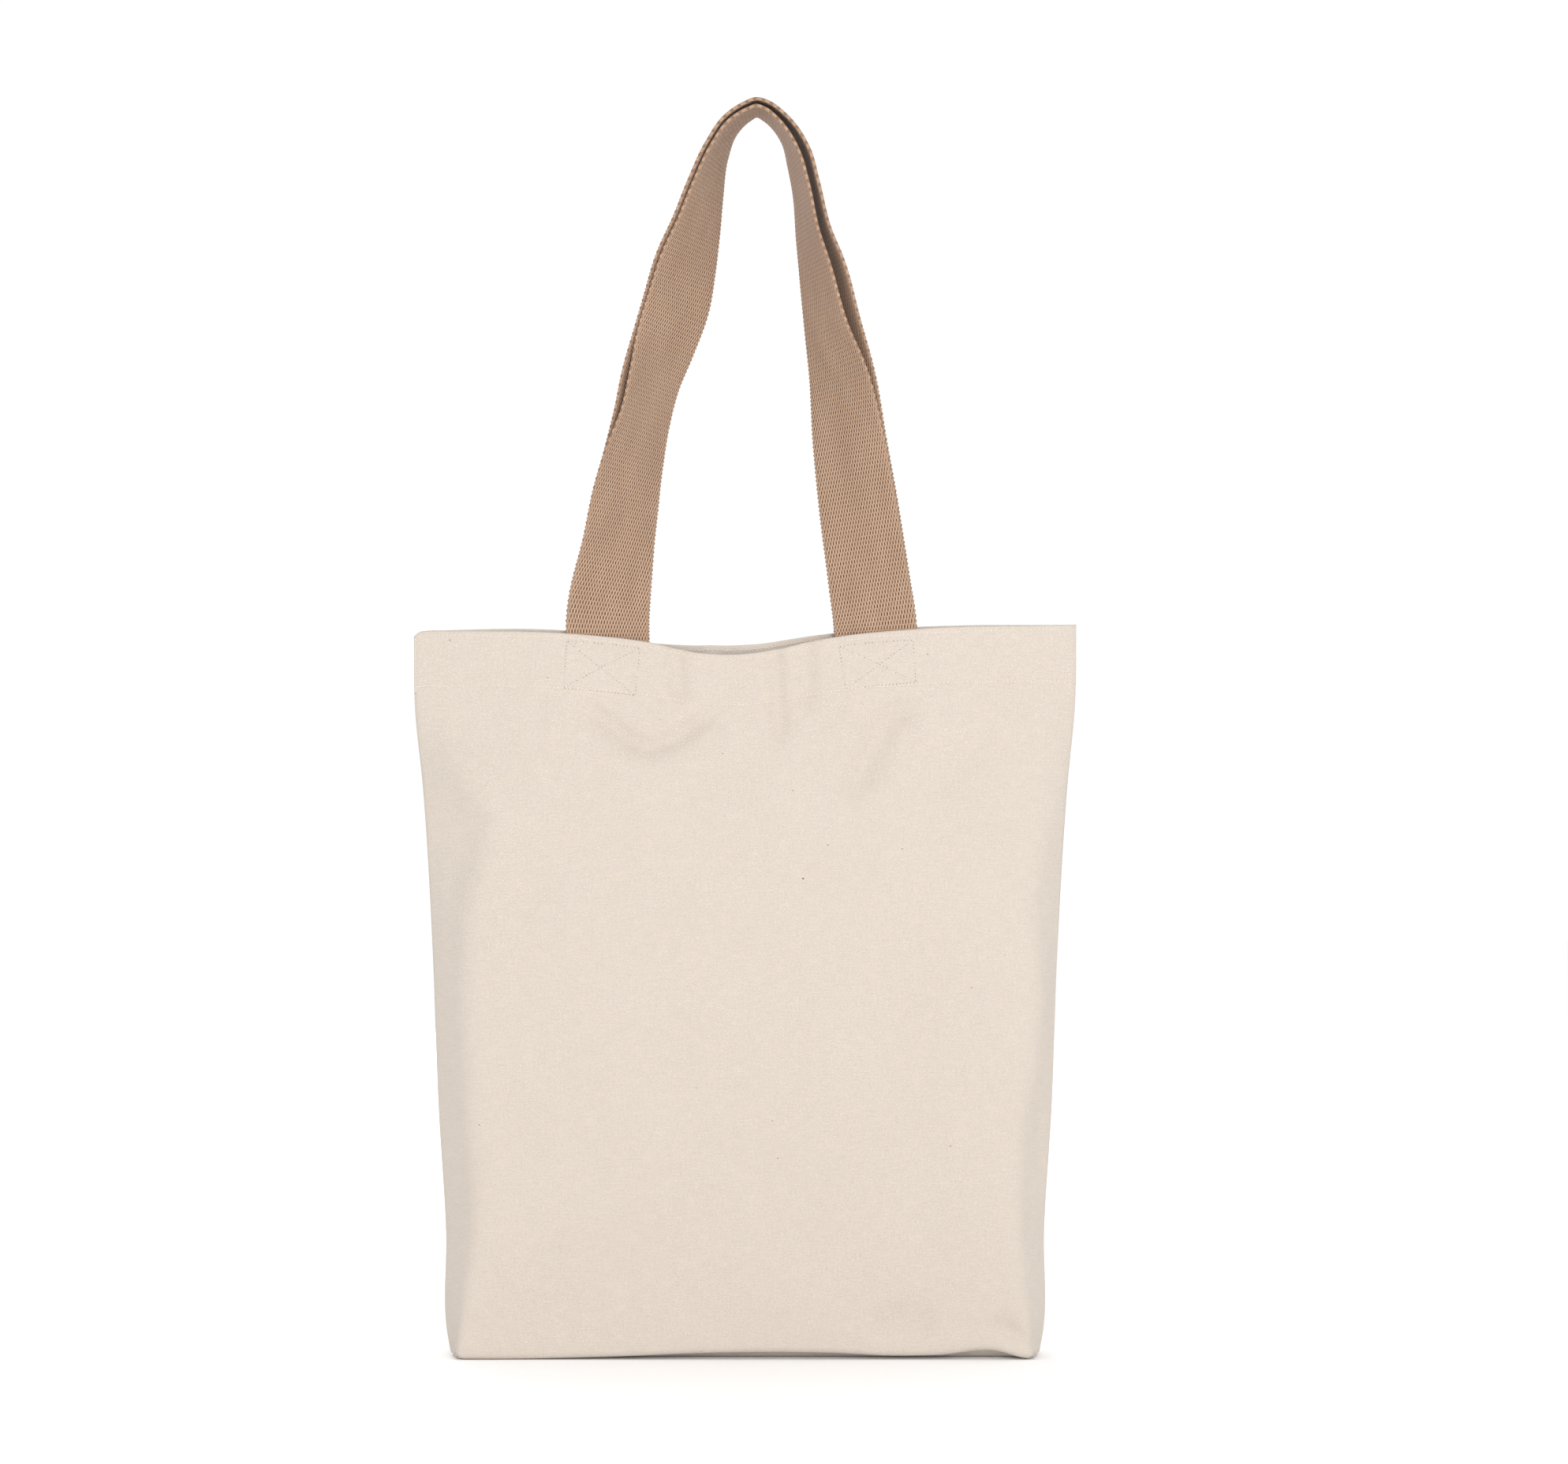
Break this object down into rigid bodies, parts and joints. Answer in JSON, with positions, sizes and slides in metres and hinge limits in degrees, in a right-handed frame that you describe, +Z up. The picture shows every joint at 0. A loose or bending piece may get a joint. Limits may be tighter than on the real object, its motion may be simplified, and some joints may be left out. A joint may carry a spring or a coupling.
{
  "type": "canvas tote bag",
  "caption": "Upright canvas tote bag with a boxed base, a wide turned hem and twin webbing handles that rise in a tall loop and fold down over the hem.",
  "frame": {"origin": "on the floor, under the middle of the boxed base", "axes": "+Z up through the mouth to the top of the handles, -Y out of the front, +X to the right seen from the front"},
  "size_m": [0.4, 0.056, 0.756],
  "materials": {
    "canvas": "natural unbleached cotton canvas, plain weave with small seed flecks, matt",
    "webbing": "tan cotton webbing, 50 mm, heavy ribbed weave with a rounded selvedge, matt",
    "hem_thread": "off-white sewing thread",
    "box_thread": "grey-brown sewing thread",
    "seam_thread": "oversewn raw edges of the canvas, off-white thread"
  },
  "bodies": {
    "bag": {"front_base": "canvas", "back_base": "canvas", "bottom_seam": "seam_thread", "left_corner_seam": "seam_thread", "left_side_seam": "seam_thread", "left_hem_end": "canvas", "right_corner_seam": "seam_thread", "right_side_seam": "seam_thread", "right_hem_end": "canvas", "front_left_flank": "canvas", "front_right_flank": "canvas", "back_left_flank": "canvas", "back_right_flank": "canvas"},
    "front_wall": {"front_panel": "canvas", "front_hem": "canvas", "front_hem_stitching": "hem_thread", "front_left_handle_end": "webbing", "front_left_box_stitch": "box_thread", "front_right_handle_end": "webbing", "front_right_box_stitch": "box_thread"},
    "back_wall": {"back_panel": "canvas", "back_hem": "canvas", "back_hem_stitching": "hem_thread", "back_left_handle_end": "webbing", "back_left_box_stitch": "box_thread", "back_right_handle_end": "webbing", "back_right_box_stitch": "box_thread"},
    "front_loop": {"front_handle": "webbing"},
    "back_loop": {"back_handle": "webbing"}
  },
  "joints": [
    {"name": "front_wall_open", "type": "hinge", "parent": "bag", "child": "front_wall", "pos_m": [0, -0.025, 0.0013], "axis": [1, 0, 0], "range_deg": [0, 5]},
    {"name": "back_wall_open", "type": "hinge", "parent": "bag", "child": "back_wall", "pos_m": [0, 0.025, 0.0013], "axis": [-1, 0, 0], "range_deg": [0, 5]},
    {"name": "front_handle_swing", "type": "hinge", "parent": "front_wall", "child": "front_loop", "pos_m": [0, -0.0075, 0.4375], "axis": [1, 0, 0], "range_deg": [0, 165]},
    {"name": "back_handle_swing", "type": "hinge", "parent": "back_wall", "child": "back_loop", "pos_m": [0, 0.0075, 0.4375], "axis": [-1, 0, 0], "range_deg": [0, 165]}
  ]
}
